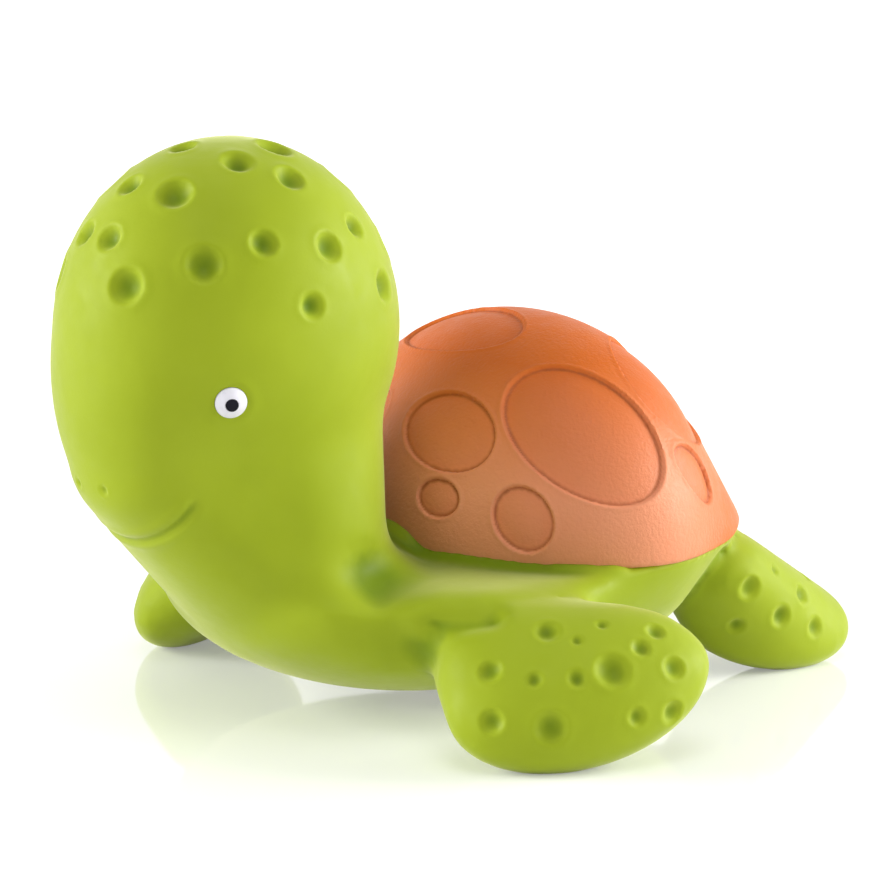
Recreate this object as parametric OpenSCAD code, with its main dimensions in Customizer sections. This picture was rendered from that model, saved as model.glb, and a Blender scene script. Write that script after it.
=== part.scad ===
// Squeaky bath toy: a hollow sea turtle moulded in soft rubber, with a domed shell cap,
// set-in eyes and a reed squeaker plugged into its belly.
// The turtle faces -Y, its left side is +X, and its four soles stand on z = 0.

/* [Head] */
// Width of the head
head_w = 44; // [40:1:48]
// Length of the head from brow to nape
head_l = 52; // [48:1:54]
// Height of the head from chin to crown
head_h = 55; // [52:1:58]
// Height of the middle of the head above the floor
head_z = 58.5; // [57:0.5:61]
// Distance of the middle of the head ahead of the middle of the trunk
head_reach = 31; // [30:0.5:34]
// Width of the face
face_w = 32; // [28:1:36]
// Length of the rounding of the face
face_l = 22; // [20:1:26]
// Height of the face
face_h = 46; // [42:1:48]
// Distance of the middle of the face ahead of the middle of the head
face_reach = 15; // [13:0.5:16]
// Drop of the middle of the face below the middle of the head
face_drop = 5; // [3:0.5:7]
// Width of the chin
chin_w = 26; // [22:1:30]
// Length of the chin
chin_l = 18; // [16:1:20]
// Height of the chin
chin_h = 21; // [18:1:24]
// Width of the neck
neck_w = 35; // [32:1:38]
// Length of the neck from throat to nape
neck_l = 47; // [44:1:48]
// Drop of the top of the neck below the crown of the head
neck_drop = 3; // [2:0.5:5]

/* [Trunk] */
// Width of the trunk
trunk_w = 75; // [72:1:80]
// Length of the trunk
trunk_l = 73; // [70:1:76]
// Height of the widest line of the trunk above the floor
trunk_z = 20.5; // [19:0.5:21.5]
// Width of the chest
chest_w = 41; // [38:1:44]
// Length of the chest
chest_l = 25; // [23:1:27]
// Height of the chest
chest_h = 22; // [20:1:24]
// Distance of the middle of the chest ahead of the middle of the trunk
chest_reach = 22; // [21:0.5:23]
// Drop of the middle of the chest below the widest line of the trunk
chest_drop = 2; // [1:0.5:3]
// Clearance of the belly above the floor
belly_z = 2.5; // [1.5:0.5:4]
// Rise of the shoulders above the widest line of the trunk
shoulder_h = 3.5; // [2:0.5:4]
// Thickness of the rubber skin
wall_t = 3; // [2:0.25:4]

/* [Shell] */
// Width of the shell at its crown
shell_w = 74; // [70:1:78]
// Length of the crown of the shell
shell_l = 49; // [46:1:52]
// Height of the crown of the shell above the floor
shell_top = 56.5; // [52:0.5:60]
// Height of the widest line of the shell above the floor
shell_z = 26; // [25:0.5:28]
// Distance of the crown of the shell behind the middle of the trunk
shell_back = 21.5; // [20.5:0.5:22.5]
// Width of the brim of the shell
brim_w = 67; // [64:1:70]
// Length of the brim of the shell
brim_l = 52; // [48:1:54]
// Thickness of the brim of the shell
brim_t = 12; // [10:0.5:14]
// Distance of the middle of the brim behind the crown of the shell
brim_back = 6; // [5:0.5:7]
// Width of the front lobe of the shell
lobe_w = 44; // [40:1:48]
// Length of the front lobe of the shell
lobe_l = 26; // [24:1:28]
// Height of the front lobe of the shell
lobe_h = 42; // [38:1:44]
// Distance of the front lobe ahead of the crown of the shell
lobe_reach = 13; // [11:0.5:14]
// Height of the rim of the shell above the floor
rim_z = 23.2; // [22.6:0.2:24]
// Thickness of the shell cap
shell_t = 2.2; // [1.6:0.2:3]
// Height by which the shell stands proud of the flank below its rim
shell_proud = 0.7; // [0.4:0.1:1.2]
// Depth of the oval pans in the shell
pan_depth = 0.6; // [0.4:0.1:0.9]

/* [Front flippers] */
// Depth of the middle of the shoulder inside the side of the trunk
front_root_in = 3.5; // [2:0.5:6]
// Distance of the shoulder ahead of the middle of the trunk
front_root_y = 8.5; // [7:0.5:10]
// Height of the shoulder above the floor
front_root_z = 18; // [17:0.5:19]
// Width of the shoulder
front_root_w = 20; // [18:0.5:22]
// Thickness of the shoulder
front_root_t = 15; // [12:0.5:16]
// Distance of the middle of the paddle out from the side of the trunk
front_out = 8.5; // [6:0.5:11]
// Distance of the middle of the paddle ahead of the middle of the trunk
front_y = 3; // [0:0.5:6]
// Width of the paddle
front_w = 24; // [21:0.5:27]
// Length of the paddle
front_l = 39; // [35:0.5:43]
// Thickness of the paddle
front_t = 16; // [13:0.5:18]
// Slope of the paddle down and outward, in degrees
front_slope = 48; // [40:1:55]
// Dip of the paddle's leading edge, in degrees
front_dip = 20; // [12:1:26]
// Turn of the paddle seen from above, in degrees
front_turn = -5; // [-15:1:5]

/* [Rear flippers] */
// Distance of the middle of the hip from the centre line
rear_root_x = 19; // [17:0.5:22]
// Distance of the hip ahead of the back end of the shell
rear_root_in = 9; // [7:0.5:11]
// Width of the hip
rear_root_w = 18; // [16:0.5:20]
// Thickness of the hip
rear_root_t = 13; // [11:0.5:14]
// Distance of the middle of the paddle behind the hip
rear_back = 11; // [9:0.5:13]
// Shift of the middle of the paddle toward the centre line
rear_in = 0.5; // [0:0.5:3]
// Width of the paddle
rear_w = 19; // [17:0.5:21]
// Length of the paddle
rear_l = 31; // [28:0.5:34]
// Thickness of the paddle
rear_t = 12; // [10:0.5:14]
// Slope of the paddle down and outward, in degrees
rear_slope = 36; // [30:1:42]
// Lift of the paddle's far end, in degrees
rear_lift = 11; // [6:1:16]
// Turn of the paddle seen from above, in degrees
rear_turn = -15; // [-22:1:-8]
// Depth of the flat on each sole
sole_flat = 0.5; // [0.3:0.1:0.8]

/* [Face details] */
// Turn of each eye from the front of the head, in degrees
eye_turn = 62; // [56:1:68]
// Rise of each eye above the widest line of the head, in degrees
eye_rise = -15; // [-20:1:-8]
// Diameter of each eye
eye_d = 4.5; // [4:0.1:5.5]
// Length of each eye's plug in its socket
eye_plug = 1.6; // [1.2:0.1:2]
// Height of each eye's dome above the skin
eye_dome = 1; // [0.6:0.1:1.4]
// Diameter of each pupil
pupil_d = 1.8; // [1.4:0.1:2.2]
// Depth of each pupil's seat in the eye
pupil_seat = 0.5; // [0.3:0.1:0.7]
// Height of each pupil's dome above the eye
pupil_dome = 0.15; // [0.1:0.05:0.3]
// Diameter of each nostril
nostril_d = 1.5; // [1:0.1:2]
// Fall of each nostril below the widest line of the face, in degrees
nostril_rise = -42; // [-50:1:-36]
// Distance of each nostril from the centre line
nostril_x = 3.3; // [2.5:0.1:4.5]
// Radius of the arc of the smile
smile_r = 17; // [16:0.1:18]
// Sweep of the arc of the smile, in degrees
smile_arc = 116; // [90:2:126]
// Lean of the smile back against the chin, in degrees
smile_lean = 24; // [18:1:30]
// Distance of the lowest point of the smile ahead of the middle of the chin
smile_y = 2.5; // [1.5:0.1:3.5]
// Thickness of the engraved line of the smile
smile_t = 1.2; // [0.8:0.1:1.6]
// Depth of the dimples in the skin, as a share of their diameter
dimple_depth = 0.16; // [0.1:0.01:0.2]

/* [Squeaker] */
// Distance of the squeaker behind the middle of the trunk, clear of the shell's front wall
squeaker_back = 5; // [4:0.5:8]
// Diameter of the flange of the squeaker
flange_d = 14; // [12.5:0.5:16]
// Thickness of the flange of the squeaker
flange_t = 1.2; // [0.8:0.1:1.6]
// Diameter of the squeaker's barrel
barrel_d = 10.4; // [9.6:0.2:11]
// Height of the squeaker's barrel
barrel_h = 12; // [11:0.5:12.5]
// Diameter of the squeaker's barb above the rubber
barb_d = 12.6; // [11.5:0.1:13.5]
// Length of the squeaker's barb
barb_h = 2.5; // [1.5:0.25:3.5]
// Thickness of the rubber gripped between the flange and the barb
grip_h = 4; // [3:0.25:5]
// Diameter of the rubber boss around the squeaker
boss_d = 22; // [19:0.5:26]
// Thickness of the barrel's wall
barrel_t = 1.2; // [0.9:0.1:1.5]
// Diameter of the air hole
air_d = 3; // [2:0.25:3.5]
// Thickness of the squeaker's lid
lid_t = 1.2; // [0.8:0.1:1.6]
// Depth of the lid's spigot in the barrel
spigot_h = 1.5; // [1:0.25:2]
// Diameter of the air holes in the lid
lid_hole_d = 1.2; // [0.8:0.1:1.5]
// Thickness of the reed
reed_t = 0.3; // [0.2:0.05:0.4]
// Width of the reed
reed_w = 3; // [2.6:0.1:3.4]
// Free length of the reed below its root
reed_l = 6; // [5:0.25:6.5]
// Diameter of the bead at the root of the reed
bead_d = 1.2; // [1:0.1:1.4]
// Width of the air channel behind the reed
channel_w = 2; // [1.6:0.1:2.4]
// Depth of the air channel behind the reed
channel_t = 1.4; // [1:0.1:1.8]
// Height of the clip that holds the reed's root
clip_h = 3; // [2.4:0.2:3.6]
// Thickness of the clip that holds the reed's root
clip_t = 2.2; // [1.8:0.1:2.4]

/* [Fits] */
// Gap between the shell cap and the skin
shell_gap = 0.3; // [0.2:0.05:0.5]
// Gap around pieces plugged into the rubber or into the barrel
plug_gap = 0.05; // [0.02:0.01:0.1]
// Running gap around the reed
reed_gap = 0.08; // [0.05:0.01:0.12]

/* [Hidden] */

form_fn = 32;
limb_fn = 24;
core_fn = 24;
inner_fn = 16;
dent_fn = 10;
far = 400;

// Eggs of the form, each as its middle, its three half sizes and its turn about X, Y and Z
level = [0, 0, 0];
skull = [[0, -head_reach, head_z], [head_w, head_l, head_h] / 2, level];
face = [skull[0] + [0, -face_reach, -face_drop], [face_w, face_l, face_h] / 2, level];
chin = [face[0] + [0, 0, chin_h / 2 - face_h / 2], [chin_w, chin_l, chin_h] / 2, level];
neck = [skull[0], [neck_w, neck_l, head_h - 2 * neck_drop] / 2, level];
trunk_r = [trunk_w / 2, trunk_l / 2, trunk_z - belly_z];
trunk = [[0, 0, trunk_z], trunk_r, level];
chest = [[0, -chest_reach, trunk_z - chest_drop], [chest_w, chest_l, chest_h] / 2, level];
crown = [[0, shell_back, shell_z], [shell_w / 2, shell_l / 2, shell_top - shell_z], level];
brim = [crown[0] + [0, brim_back, -1], [brim_w, brim_l, brim_t] / 2, level];
lobe = [crown[0] + [0, -lobe_reach, 1], [lobe_w, lobe_l, lobe_h] / 2, level];
hips = [crown[0], [crown[1].x, crown[1].y, shell_z - belly_z], level];

side_x = trunk_w / 2;
shell_end = brim[0].y + brim[1].y;
front_root = [[side_x - front_root_in, -front_root_y, front_root_z],
              [front_root_w, front_root_w, front_root_t] / 2, level];
rear_root = [[rear_root_x, shell_end - rear_root_in, rim_z - shell_gap - rear_root_t / 2],
             [rear_root_w, rear_root_w, rear_root_t] / 2, level];

function rot_x(v, a) = [v.x, v.y * cos(a) - v.z * sin(a), v.y * sin(a) + v.z * cos(a)];
function rot_y(v, a) = [v.x * cos(a) + v.z * sin(a), v.y, v.z * cos(a) - v.x * sin(a)];
function rot_z(v, a) = [v.x * cos(a) - v.y * sin(a), v.x * sin(a) + v.y * cos(a), v.z];
function turned(v, a) = rot_z(rot_y(rot_x(v, a.x), a.y), a.z);
function unturned(v, a) = rot_x(rot_y(rot_z(v, -a.z), -a.y), -a.x);
function unit(v) = v / norm(v);
function times(a, b) = [a.x * b.x, a.y * b.y, a.z * b.z];
function over(a, b) = [a.x / b.x, a.y / b.y, a.z / b.z];
function heading(turn, rise) = [sin(turn) * cos(rise), -cos(turn) * cos(rise), sin(rise)];
function on_egg(e, turn, rise) = e[0] + times(e[1], heading(turn, rise));
function egg_normal(e, turn, rise) = unit(over(heading(turn, rise), e[1]));

// Point where a plane of normal n touches an egg, and half of the egg's thickness along n
function touch(e, n) =
    let (m = times(e[1], unturned(n, e[2])))
    e[0] + turned(times(e[1], m) / norm(m), e[2]);
function reach(e, n) = norm(times(e[1], unturned(n, e[2])));

// A paddle stands on the floor, sunk by the flat of its sole
function paddle(x, y, size, turn) =
    let (flat = [[x, y, 0], size / 2, turn])
    [[x, y, reach(flat, [0, 0, 1]) - sole_flat], size / 2, turn];
front_paddle = paddle(side_x + front_out, -front_y, [front_w, front_l, front_t],
                      [front_dip, front_slope, front_turn]);
rear_paddle = paddle(rear_root_x - rear_in, rear_root[0].y + rear_back, [rear_w, rear_l, rear_t],
                     [-rear_lift, rear_slope, rear_turn]);

// The origin lies under the middle of the toy's length
nose_y = min(skull[0].y - skull[1].y, face[0].y - face[1].y);
heel_y = rear_paddle[0].y + reach(rear_paddle, [0, 1, 0]);
middle = [0, -(nose_y + heel_y) / 2, 0];
belly_seat = [0, squeaker_back, 0];

// Places on a limb that joins two eggs: angle round the limb from its top, and share along it.
// A share from 0 to 1 runs between the eggs, and one from 1 to 2 over the end of the second egg.
function limb_normal(a, b, angle, lean) =
    let (axis = unit(b[0] - a[0]), top = unit([0, 0, 1] - axis.z * axis))
    cos(lean) * (cos(angle) * top + sin(angle) * cross(axis, top)) + sin(lean) * axis;
function settle(a, b, angle, low, high, steps) =
    let (lean = (low + high) / 2, n = limb_normal(a, b, angle, lean))
    steps == 0 ? lean :
    n * touch(a, n) > n * touch(b, n) ? settle(a, b, angle, lean, high, steps - 1)
                                      : settle(a, b, angle, low, lean, steps - 1);
function limb_lean(a, b, angle, share) =
    let (lean = settle(a, b, angle, -89, 89, 16))
    share > 1 ? lean + (share - 1) * (90 - lean) : lean;
function on_limb(a, b, n, share) =
    share > 1 ? touch(b, n) : (1 - share) * touch(a, n) + share * touch(b, n);

// Heights of the squeaker's pieces, from the flat on the belly upward
flat_z = belly_z + 0.5;
grip_z = flat_z + flange_t;
barb_z = grip_z + grip_h;
barrel_top = flat_z + barrel_h;
bore_d = barrel_d - 2 * barrel_t;
lid_z = barrel_top - spigot_h;
block_top = lid_z - 0.5;
bead_z = block_top - clip_h / 2;

// Dimples on the head: turn from the front to the left, rise, diameter
head_dimples = [[35, 50, 5.4], [70, 65, 4.8], [100, 55, 4.6], [10, 33, 4.2], [25, 19, 5.4],
                [53, 26, 5.6], [75, 32, 4.2], [102, 29, 4.6], [90, 12, 4], [122, 34, 3.8],
                [128, 14, 4.8], [125, 72, 5.6], [150, 25, 4.4], [155, 50, 4.8]];
mid_dimples = [[0, 74, 4.2], [0, 52, 4]];
// Dimples on a flipper: angle round it, share along it, diameter
front_dimples = [[35, 0.45, 3.9], [25, 0.8, 2], [35, 0.75, 2], [60, 0.6, 3.6], [50, 0.9, 2.6],
                 [45, 1.05, 3], [40, 1.1, 5.2], [30, 1.1, 3], [20, 1.1, 3], [30, 1.3, 3.6],
                 [70, 1.15, 3.7], [65, 1.3, 5], [55, 1.45, 2.8], [50, 1.65, 3.7]];
rear_dimples = [[100, 0.05, 3.9], [130, 0.5, 3], [95, 0.5, 3.7], [60, 0.5, 3.3], [80, 0.8, 3.4],
                [55, 0.15, 2], [25, 0.65, 2]];

// Pans on the shell: turn from the front to the left, rise, width, height, roll
pans = [[17.5, 30, 17, 12, -12], [18, 11, 7.2, 5.8, 0], [42, 8, 10.3, 8.8, -45], [63.5, 34, 27, 18, -42],
        [130, 43, 24, 19, 20], [109, 19, 11.6, 11, 0], [-25, 72, 25, 13, 25], [180, 27, 13, 10, 0],
        [-20, 28, 14, 11, 12], [-16, 10, 6.4, 5.6, 0], [-43, 8, 9.8, 8.8, 45], [-68, 28, 22, 15, 40],
        [-130, 43, 24, 19, -20], [-109, 19, 11.6, 11, 0]];

module aim(p, n) {
    translate(p)
        rotate([0, acos(n.z), atan2(n.y, n.x)])
            children();
}

module both_sides() {
    children();
    mirror([1, 0, 0])
        children();
}

module egg(e, inset = 0, fn = form_fn) {
    translate(e[0])
        rotate(e[2])
            scale(e[1] - [inset, inset, inset])
                sphere(1, $fn = fn);
}

module under(z) {
    translate([-far / 2, -far / 2, z - far])
        cube(far);
}

module above(z) {
    translate([-far / 2, -far / 2, z])
        cube(far);
}

module head() {
    hull() {
        egg(skull);
        egg(face);
    }
}

module throat() {
    hull() {
        egg(chin);
        egg(neck);
        egg(chest);
    }
}

// Trunk and hips up to the seat of the shell's rim
module lower_body() {
    intersection() {
        hull() {
            intersection() {
                egg(trunk);
                under(trunk_z);
            }
            egg([trunk[0], [trunk_r.x, trunk_r.y, shoulder_h], level]);
            egg(hips, shell_proud);
            egg(brim, shell_proud);
        }
        under(rim_z - shell_gap);
    }
}

// Eggs of the shell above a height, drawn in by an inset, and the dome stretched over them
module shell_eggs(inset, base_z, fn) {
    intersection() {
        union() {
            egg(crown, inset, fn);
            egg(brim, inset, fn);
            egg(lobe, inset, fn);
        }
        above(base_z);
    }
}

module dome(inset = 0, base_z = 0, fn = form_fn) {
    intersection() {
        hull()
            shell_eggs(inset, 0, fn);
        above(base_z);
    }
}

module flippers() {
    both_sides() {
        hull() {
            egg(front_root, 0, limb_fn);
            egg(front_paddle, 0, limb_fn);
        }
        hull() {
            egg(rear_root, 0, limb_fn);
            egg(rear_paddle, 0, limb_fn);
        }
    }
}

// A shallow round dent of diameter d in a face at p with normal n
module dimple(p, n, d) {
    depth = dimple_depth * d;
    ball = (d * d / 4 + depth * depth) / (2 * depth);
    aim(p + n * (ball - depth), n)
        sphere(ball, $fn = dent_fn);
}

module limb_dimples(a, b, dents) {
    for (d = dents) {
        n = limb_normal(a, b, d[0], limb_lean(a, b, d[0], d[1]));
        dimple(on_limb(a, b, n, d[1]), n, d[2]);
    }
}

module dimples() {
    both_sides() {
        for (d = head_dimples)
            dimple(on_egg(skull, d[0], d[1]), egg_normal(skull, d[0], d[1]), d[2]);
        limb_dimples(front_root, front_paddle, front_dimples);
        limb_dimples(rear_root, rear_paddle, rear_dimples);
    }
    for (d = mid_dimples)
        dimple(on_egg(skull, d[0], d[1]), egg_normal(skull, d[0], d[1]), d[2]);
}

// The smile is the lower arc of a thin ring leaned back against the chin
module smile() {
    translate(chin[0] - [0, smile_y, chin[1].z + 0.5])
        rotate([90 - smile_lean, 0, 0])
            translate([0, smile_r, 0])
                rotate([0, 0, 270 - smile_arc / 2])
                    rotate_extrude(angle = smile_arc, $fn = 48)
                        translate([smile_r, 0])
                            circle(d = smile_t, $fn = 8);
}

module nostrils() {
    turn = asin(nostril_x / face[1].x / cos(nostril_rise));
    both_sides()
        translate(on_egg(face, turn, nostril_rise))
            sphere(d = nostril_d, $fn = dent_fn);
}

// The air space, from the belly into the dome and up through the neck into the head
module hollow() {
    egg(skull, wall_t, inner_fn);
    egg(face, wall_t, inner_fn);
    egg(chest, wall_t, inner_fn);
    translate([0, -(chest_reach + head_reach) / 2, chest[0].z])
        cylinder(d = neck_w - 4 * wall_t, h = head_z - chest[0].z, $fn = inner_fn);
    intersection() {
        union() {
            egg(trunk, wall_t, inner_fn);
            egg(hips, wall_t + shell_proud, inner_fn);
        }
        under(trunk_z - wall_t);
    }
    shell_eggs(shell_t + shell_gap + wall_t, trunk_z - wall_t - 1, inner_fn);
}

module skin_form() {
    difference() {
        union() {
            difference() {
                union() {
                    head();
                    throat();
                    lower_body();
                    flippers();
                }
                shell_eggs(-shell_gap, rim_z - shell_gap, form_fn);
            }
            shell_eggs(shell_t + shell_gap, rim_z - shell_gap - 1, core_fn);
        }
        dimples();
        smile();
        nostrils();
        difference() {
            hollow();
            translate(belly_seat)
                cylinder(d = boss_d, h = barb_z, $fn = inner_fn);
        }
        translate(belly_seat)
            cylinder(d = bore_d, h = barb_z + 1, $fn = inner_fn);
    }
}

// Moves a piece drawn along +Z to an eye's place on the left or the right cheek
module at_eye(side) {
    mirror([side > 0 ? 0 : 1, 0, 0])
        aim(on_egg(skull, eye_turn, eye_rise), egg_normal(skull, eye_turn, eye_rise))
            children();
}

// A plug of diameter d from z = -len upward with a domed top that rises by crown
module domed_plug(d, len, crown) {
    ball = (d * d / 4 + crown * crown) / (2 * crown);
    intersection() {
        translate([0, 0, -len])
            cylinder(d = d, h = len + crown, $fn = 48);
        translate([0, 0, crown - ball])
            sphere(ball, $fn = 64);
    }
}

module eye(side) {
    color("whitesmoke")
        translate(middle)
            at_eye(side)
                difference() {
                    union() {
                        translate([0, 0, -eye_plug])
                            cylinder(d = eye_d, h = eye_plug, $fn = 48);
                        domed_plug(eye_d, 0, eye_dome);
                    }
                    translate([0, 0, eye_dome - pupil_seat])
                        cylinder(d = pupil_d + 2 * plug_gap, h = 2 * pupil_seat, $fn = 32);
                }
}

module pupil(side) {
    color("black")
        translate(middle)
            at_eye(side)
                translate([0, 0, eye_dome - pupil_seat]) {
                    cylinder(d = pupil_d, h = pupil_seat, $fn = 32);
                    translate([0, 0, pupil_seat])
                        domed_plug(pupil_d, 0, pupil_dome);
                }
}

module body_skin() {
    color("yellowgreen")
        translate(middle)
            difference() {
                resize([0, 0, 0])
                    skin_form();
                under(0);
                for (side = [1, -1])
                    at_eye(side)
                        translate([0, 0, -eye_plug - plug_gap])
                            cylinder(d = eye_d + 2 * plug_gap, h = eye_plug + eye_dome + 2, $fn = 48);
                translate(belly_seat + [0, 0, belly_z - 5])
                    cylinder(d = flange_d + 2 * plug_gap, h = grip_z - belly_z + 5, $fn = 64);
                translate(belly_seat)
                    cylinder(d = barrel_d + 2 * plug_gap, h = barb_z + 1, $fn = 64);
            }
}

// Cutters for the pans, each an oval post square to the shell
module pan_posts() {
    for (p = pans)
        aim(on_egg(crown, p[0], p[1]), egg_normal(crown, p[0], p[1]))
            rotate([0, 0, 90 + p[4]])
                scale([p[2], p[3], 1])
                    cylinder(d = 1, h = 16, center = true, $fn = 28);
}

module carapace() {
    color("sandybrown")
        translate(middle)
            resize([0, 0, 0])
                difference() {
                    dome(0, rim_z);
                    dome(shell_t, 0, core_fn);
                    difference() {
                        pan_posts();
                        dome(pan_depth);
                    }
                }
}

// Barrel of the squeaker: flange outside the belly, groove that grips the rubber, barb and bore
module squeaker_barrel() {
    color("ivory")
        translate(middle + belly_seat)
            rotate_extrude($fn = 64)
                difference() {
                    polygon([[air_d / 2, flat_z], [flange_d / 2, flat_z], [flange_d / 2, grip_z],
                             [barrel_d / 2, grip_z], [barrel_d / 2, barb_z], [barb_d / 2, barb_z],
                             [barrel_d / 2, barb_z + barb_h], [barrel_d / 2, barrel_top],
                             [air_d / 2, barrel_top]]);
                    translate([0, grip_z])
                        square([bore_d / 2, barrel_h]);
                }
}

module squeaker_lid() {
    color("gainsboro")
        translate(middle + belly_seat)
            difference() {
                union() {
                    translate([0, 0, barrel_top])
                        cylinder(d = barrel_d, h = lid_t, $fn = 64);
                    translate([0, 0, lid_z])
                        cylinder(d = bore_d - 2 * plug_gap, h = spigot_h, $fn = 64);
                }
                for (turn = [0 : 60 : 300])
                    rotate([0, 0, turn])
                        translate([bore_d / 4 + 0.3, 0, lid_z - 1])
                            cylinder(d = lid_hole_d, h = spigot_h + lid_t + 2, $fn = 24);
            }
}

// Half-round block with the reed's flat, its bead's groove and the air channel
module reed_block() {
    color("lightsteelblue")
        translate(middle + belly_seat)
            difference() {
                translate([0, 0, grip_z])
                    cylinder(d = bore_d - 2 * plug_gap, h = block_top - grip_z, $fn = 64);
                translate([-reed_t / 2 - reed_gap, -far / 2, 0])
                    cube(far);
                translate([-reed_t / 2 - reed_gap - channel_t, -channel_w / 2, grip_z - 1])
                    cube([channel_t + 1, channel_w, bead_z - bead_d - grip_z]);
                translate([0, 0, bead_z])
                    rotate([90, 0, 0])
                        cylinder(d = bead_d + 2 * reed_gap, h = far, center = true, $fn = 48);
                translate([0, 0, grip_z - 1])
                    cylinder(d = air_d, h = 2, $fn = 32);
            }
}

module reed() {
    color("gold")
        translate(middle + belly_seat) {
            translate([0, 0, bead_z])
                rotate([90, 0, 0])
                    cylinder(d = bead_d, h = reed_w, center = true, $fn = 48);
            translate([-reed_t / 2, -reed_w / 2, bead_z - reed_l])
                cube([reed_t, reed_w, reed_l]);
        }
}

module reed_clip() {
    color("slategray")
        translate(middle + belly_seat)
            difference() {
                intersection() {
                    translate([0, 0, block_top - clip_h])
                        cylinder(d = bore_d - 2 * plug_gap, h = clip_h, $fn = 64);
                    translate([reed_t / 2 + reed_gap, -far / 2, 0])
                        cube([clip_t, far, far]);
                }
                translate([0, 0, bead_z])
                    rotate([90, 0, 0])
                        cylinder(d = bead_d + 2 * reed_gap, h = far, center = true, $fn = 48);
                translate([0, -reed_w / 2 - reed_gap, block_top - clip_h - 1])
                    cube([clip_t, reed_w + 2 * reed_gap, bead_z - block_top + clip_h + 1]);
            }
}

body_skin();
carapace();
eye(1);  // eye_left
eye(-1);  // eye_right
pupil(1);  // pupil_left
pupil(-1);  // pupil_right
squeaker_barrel();
squeaker_lid();
reed_block();
reed();
reed_clip();
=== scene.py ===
import math

import bmesh
import bpy
import numpy as np
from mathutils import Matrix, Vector
from mathutils.bvhtree import BVHTree


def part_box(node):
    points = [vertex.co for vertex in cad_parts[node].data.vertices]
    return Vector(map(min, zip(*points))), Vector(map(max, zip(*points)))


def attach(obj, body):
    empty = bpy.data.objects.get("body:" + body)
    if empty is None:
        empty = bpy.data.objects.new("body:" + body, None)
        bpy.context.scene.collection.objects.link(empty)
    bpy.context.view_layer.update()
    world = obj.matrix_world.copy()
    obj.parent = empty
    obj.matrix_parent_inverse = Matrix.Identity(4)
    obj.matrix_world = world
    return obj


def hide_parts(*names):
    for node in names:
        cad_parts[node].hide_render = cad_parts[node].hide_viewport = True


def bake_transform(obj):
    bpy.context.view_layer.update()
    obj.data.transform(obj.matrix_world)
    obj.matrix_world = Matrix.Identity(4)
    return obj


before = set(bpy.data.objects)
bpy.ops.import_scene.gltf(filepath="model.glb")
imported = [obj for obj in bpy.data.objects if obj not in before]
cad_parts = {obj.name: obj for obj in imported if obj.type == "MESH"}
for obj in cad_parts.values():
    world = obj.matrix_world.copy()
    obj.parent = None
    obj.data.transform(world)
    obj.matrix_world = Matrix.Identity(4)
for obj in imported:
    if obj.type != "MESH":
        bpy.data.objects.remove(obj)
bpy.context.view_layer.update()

MM = 0.001
UP = np.array([0, 0, 1.0])

# The form is worked out in millimetres about the middle of the trunk, then shifted into the frame.
BARREL_LOW, BARREL_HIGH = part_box("squeaker_barrel")
SQUEAKER = np.array([0.0, 5.0, 0.0])
MIDDLE = np.array([0.0, (BARREL_LOW.y + BARREL_HIGH.y) / 2 / MM, 0.0]) - SQUEAKER
RIM_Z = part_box("carapace")[0].z / MM
BELLY_Z = 2.5
SHELL_GAP = 0.3
SHELL_T = 2.2
SHELL_PROUD = 0.7
SOLE_FLAT = 0.5
TRUNK_Z = 20.5
SIDE_X = 37.5


def spin(angles):
    """Turn about X, then Y, then Z, in degrees."""
    a, b, c = np.radians(angles)
    rx = np.array([[1, 0, 0], [0, np.cos(a), -np.sin(a)], [0, np.sin(a), np.cos(a)]])
    ry = np.array([[np.cos(b), 0, np.sin(b)], [0, 1, 0], [-np.sin(b), 0, np.cos(b)]])
    rz = np.array([[np.cos(c), -np.sin(c), 0], [np.sin(c), np.cos(c), 0], [0, 0, 1]])
    return rz @ ry @ rx


def unit(v):
    return v / np.linalg.norm(v)


class Egg:
    """An ellipsoid: middle, half sizes and turn."""

    def __init__(self, middle, half, turn=(0, 0, 0)):
        self.c = np.array(middle, float)
        self.r = np.array(half, float)
        self.m = spin(turn)

    def reach(self, n):
        return np.linalg.norm(self.r * (self.m.T @ n))

    def touch(self, n):
        return self.c + self.m @ (self.r * self.r * (self.m.T @ n)) / self.reach(n)

    def at(self, turn, rise):
        """Point and normal at a turn from the front to the left and a rise."""
        t, s = math.radians(turn), math.radians(rise)
        h = np.array([math.sin(t) * math.cos(s), -math.cos(t) * math.cos(s), math.sin(s)])
        return self.c + self.r * h, unit(h / self.r)

    def points(self, inset=0.0, n=96):
        lon = np.arange(n) * 2 * np.pi / n
        lat = (np.arange(n // 2) + 0.5) * np.pi / (n // 2)
        h = np.stack([np.outer(np.sin(lat), np.cos(lon)), np.outer(np.sin(lat), np.sin(lon)),
                      np.outer(np.cos(lat), np.ones(n))], -1).reshape(-1, 3)
        return self.c + (h * (self.r - inset)) @ self.m.T


def on_floor(x, y, half, turn):
    e = Egg((x, y, 0), half, turn)
    e.c[2] = e.reach(UP) - SOLE_FLAT
    return e


SKULL = Egg((0, -31, 58.5), (22, 26, 27.5))
FACE = Egg(SKULL.c + (0, -15, -5), (16, 11, 23))
CHIN = Egg(FACE.c - (0, 0, 12.5), (13, 9, 10.5))
NECK = Egg(SKULL.c, (17.5, 23.5, 24.5))
CHEST = Egg((0, -22, TRUNK_Z - 2), (20.5, 12.5, 11))
NAPE = Egg((0, -13, RIM_Z - 2.3), (20.5, 10, 5.5))
TRUNK = Egg((0, 0, TRUNK_Z), (SIDE_X, 36.5, TRUNK_Z - BELLY_Z))
SHOULDERS = Egg(TRUNK.c, (SIDE_X, 36.5, 3.5))
CROWN = Egg((0, 21.5, 26), (37, 24.5, 30.5))
BRIM = Egg(CROWN.c + (0, 6, -1), (33.5, 26, 6))
LOBE = Egg(CROWN.c + (0, -13, 1), (22, 13, 21))
HIPS = Egg(CROWN.c, (37, 24.5, CROWN.c[2] - BELLY_Z))
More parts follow.
